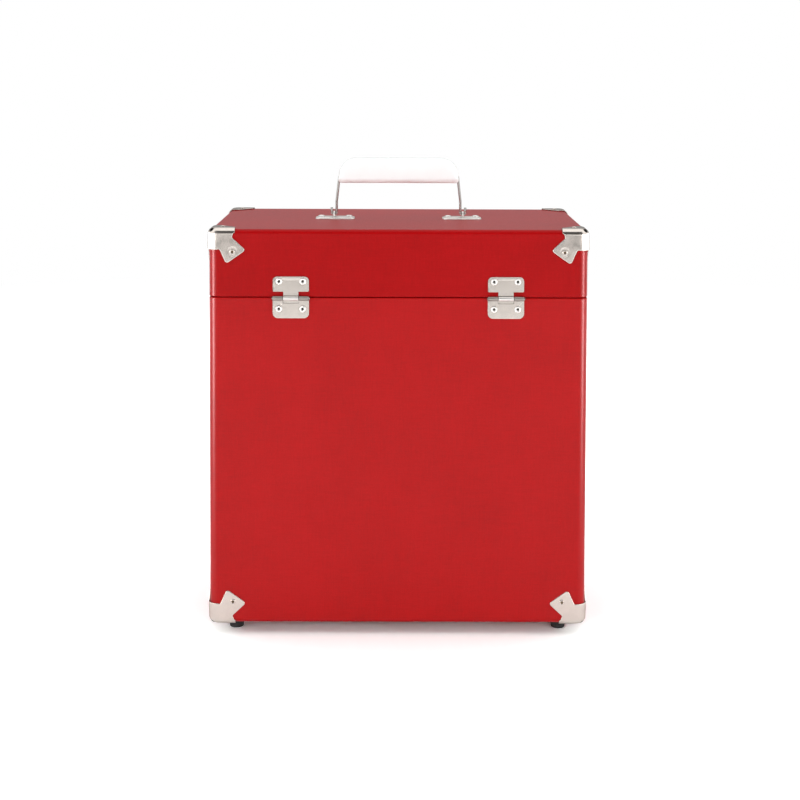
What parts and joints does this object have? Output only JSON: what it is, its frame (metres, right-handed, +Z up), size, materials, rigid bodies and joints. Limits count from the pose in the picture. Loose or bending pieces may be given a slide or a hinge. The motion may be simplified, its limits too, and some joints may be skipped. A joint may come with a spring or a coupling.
{
  "type": "record carrying case",
  "caption": "Rigid box-shaped record carrying case: hinged lid, wire-and-plastic carry handle, plated corner brackets, draw latches and rubber feet.",
  "frame": {"origin": "middle of the whole object's footprint, hinges and latches included, at the underside of the rubber feet", "axes": "+Z up; -Y towards the hinged side, +Y towards the latched side; +X to the right when looking at the hinged side"},
  "size_m": [0.366, 0.2278, 0.454],
  "materials": {
    "leatherette": "red leatherette with a fine woven grain, satin",
    "board": "bare fibreboard",
    "lining": "black flocked lining paper",
    "nickel": "nickel-plated pressed steel, lightly brushed",
    "steel_wire": "bright nickel-plated wire",
    "grip_plastic": "glossy white moulded plastic",
    "rubber": "black moulded rubber, matt"
  },
  "bodies": {
    "case_body": {"body_bottom_panel": "board", "body_cover": "leatherette", "body_front_panel": "board", "body_left_panel": "board", "body_lining": "lining", "body_rear_panel": "board", "body_right_panel": "board", "corner_bottom_front_left": "nickel", "corner_bottom_front_right": "nickel", "corner_bottom_rear_left": "nickel", "corner_bottom_rear_right": "nickel", "foot_front_left": "rubber", "foot_front_right": "rubber", "foot_rear_left": "rubber", "foot_rear_right": "rubber", "foot_screw_front_left": "nickel", "foot_screw_front_right": "nickel", "foot_screw_rear_left": "nickel", "foot_screw_rear_right": "nickel", "hinge_left_lower_leaf": "nickel", "hinge_left_lower_rivet_a": "nickel", "hinge_left_lower_rivet_b": "nickel", "hinge_left_pin": "steel_wire", "hinge_right_lower_leaf": "nickel", "hinge_right_lower_rivet_a": "nickel", "hinge_right_lower_rivet_b": "nickel", "hinge_right_pin": "steel_wire", "latch_left_base": "nickel", "latch_right_base": "nickel"},
    "lid": {"corner_top_front_left": "nickel", "corner_top_front_right": "nickel", "corner_top_rear_left": "nickel", "corner_top_rear_right": "nickel", "handle_pad_left": "nickel", "handle_pad_left_rivet_a": "nickel", "handle_pad_left_rivet_b": "nickel", "handle_pad_right": "nickel", "handle_pad_right_rivet_a": "nickel", "handle_pad_right_rivet_b": "nickel", "hinge_left_upper_leaf": "nickel", "hinge_left_upper_rivet_a": "nickel", "hinge_left_upper_rivet_b": "nickel", "hinge_right_upper_leaf": "nickel", "hinge_right_upper_rivet_a": "nickel", "hinge_right_upper_rivet_b": "nickel", "latch_left_keeper": "nickel", "latch_right_keeper": "nickel", "lid_cover": "leatherette", "lid_front_panel": "board", "lid_left_panel": "board", "lid_lining": "lining", "lid_rear_panel": "board", "lid_right_panel": "board", "lid_top_panel": "board"},
    "handle": {"handle_wire": "steel_wire", "handle_grip": "grip_plastic"},
    "latch_left_lever": {"latch_left_lever": "nickel"},
    "latch_left_bail": {"latch_left_bail": "steel_wire"},
    "latch_right_lever": {"latch_right_lever": "nickel"},
    "latch_right_bail": {"latch_right_bail": "steel_wire"}
  },
  "joints": [
    {"name": "lid_hinge", "type": "hinge", "parent": "case_body", "child": "lid", "pos_m": [0, -0.11175, 0.3264], "axis": [1, 0, 0], "range_deg": [0, 180]},
    {"name": "handle_swing", "type": "hinge", "parent": "lid", "child": "handle", "pos_m": [0, -0.00425, 0.3966], "axis": [1, 0, 0], "range_deg": [-82, 82]},
    {"name": "latch_left_throw", "type": "hinge", "parent": "case_body", "child": "latch_left_lever", "pos_m": [-0.1025, 0.10595, 0.3124], "axis": [1, 0, 0], "range_deg": [0, 120]},
    {"name": "latch_left_bail_swing", "type": "hinge", "parent": "latch_left_lever", "child": "latch_left_bail", "pos_m": [-0.1025, 0.10955, 0.3124], "axis": [1, 0, 0], "range_deg": [-156, 0]},
    {"name": "latch_right_throw", "type": "hinge", "parent": "case_body", "child": "latch_right_lever", "pos_m": [0.1025, 0.10595, 0.3124], "axis": [1, 0, 0], "range_deg": [0, 120]},
    {"name": "latch_right_bail_swing", "type": "hinge", "parent": "latch_right_lever", "child": "latch_right_bail", "pos_m": [0.1025, 0.10955, 0.3124], "axis": [1, 0, 0], "range_deg": [-156, 0]}
  ],
  "couplings": [
    {"joint": "latch_left_bail_swing", "follows": "latch_left_throw", "ratio": -1.3},
    {"joint": "latch_right_bail_swing", "follows": "latch_right_throw", "ratio": -1.3}
  ]
}
